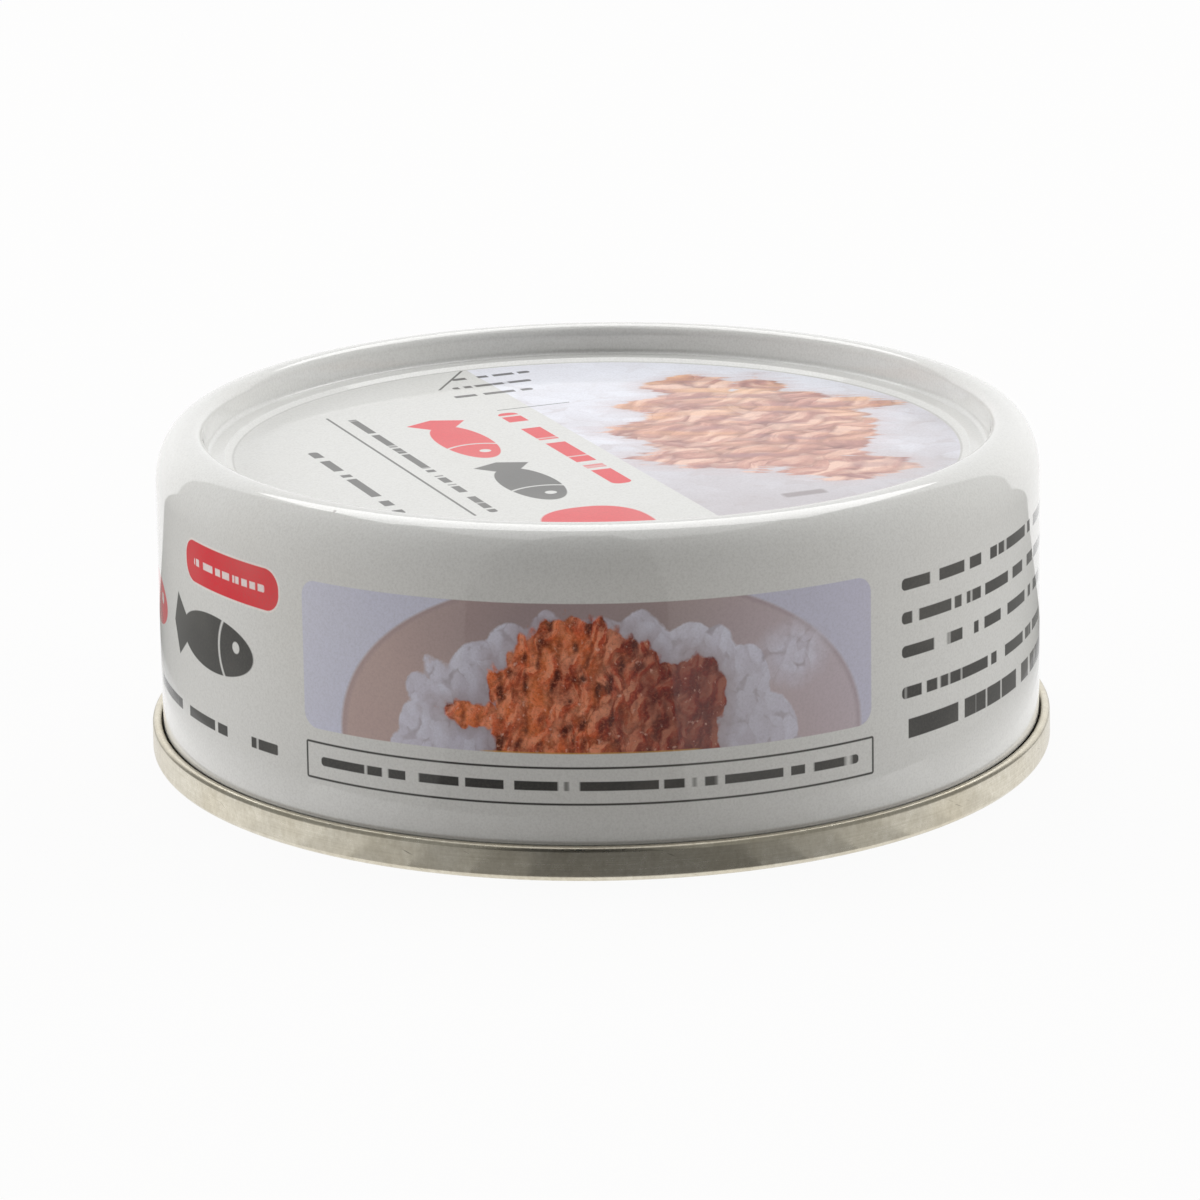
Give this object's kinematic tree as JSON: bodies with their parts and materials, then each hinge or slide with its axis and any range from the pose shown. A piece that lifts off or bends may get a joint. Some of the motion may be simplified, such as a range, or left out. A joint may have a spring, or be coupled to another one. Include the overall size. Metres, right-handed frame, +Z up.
{
  "type": "tuna can",
  "caption": "Shut shallow tuna can: drawn printed steel body with a rounded shoulder and dished top, standing on its double-seamed ring-pull end.",
  "frame": {"origin": "centre of the circle that the can stands on, on the can's axis", "axes": "+Z up along the can's axis, from the seamed end to the printed top; -Y towards the middle of the side print"},
  "size_m": [0.0858, 0.0858, 0.0313],
  "materials": {
    "printed_can": "gloss lacquer over warm white enamel and printed colours",
    "tin_end": "satin tinplate with a clear, slightly golden lacquer",
    "tab_metal": "bright pressed tinplate"
  },
  "bodies": {
    "root": {"can_body": "printed_can", "can_end": "tin_end", "pull_tab": "tab_metal"}
  },
  "joints": []
}
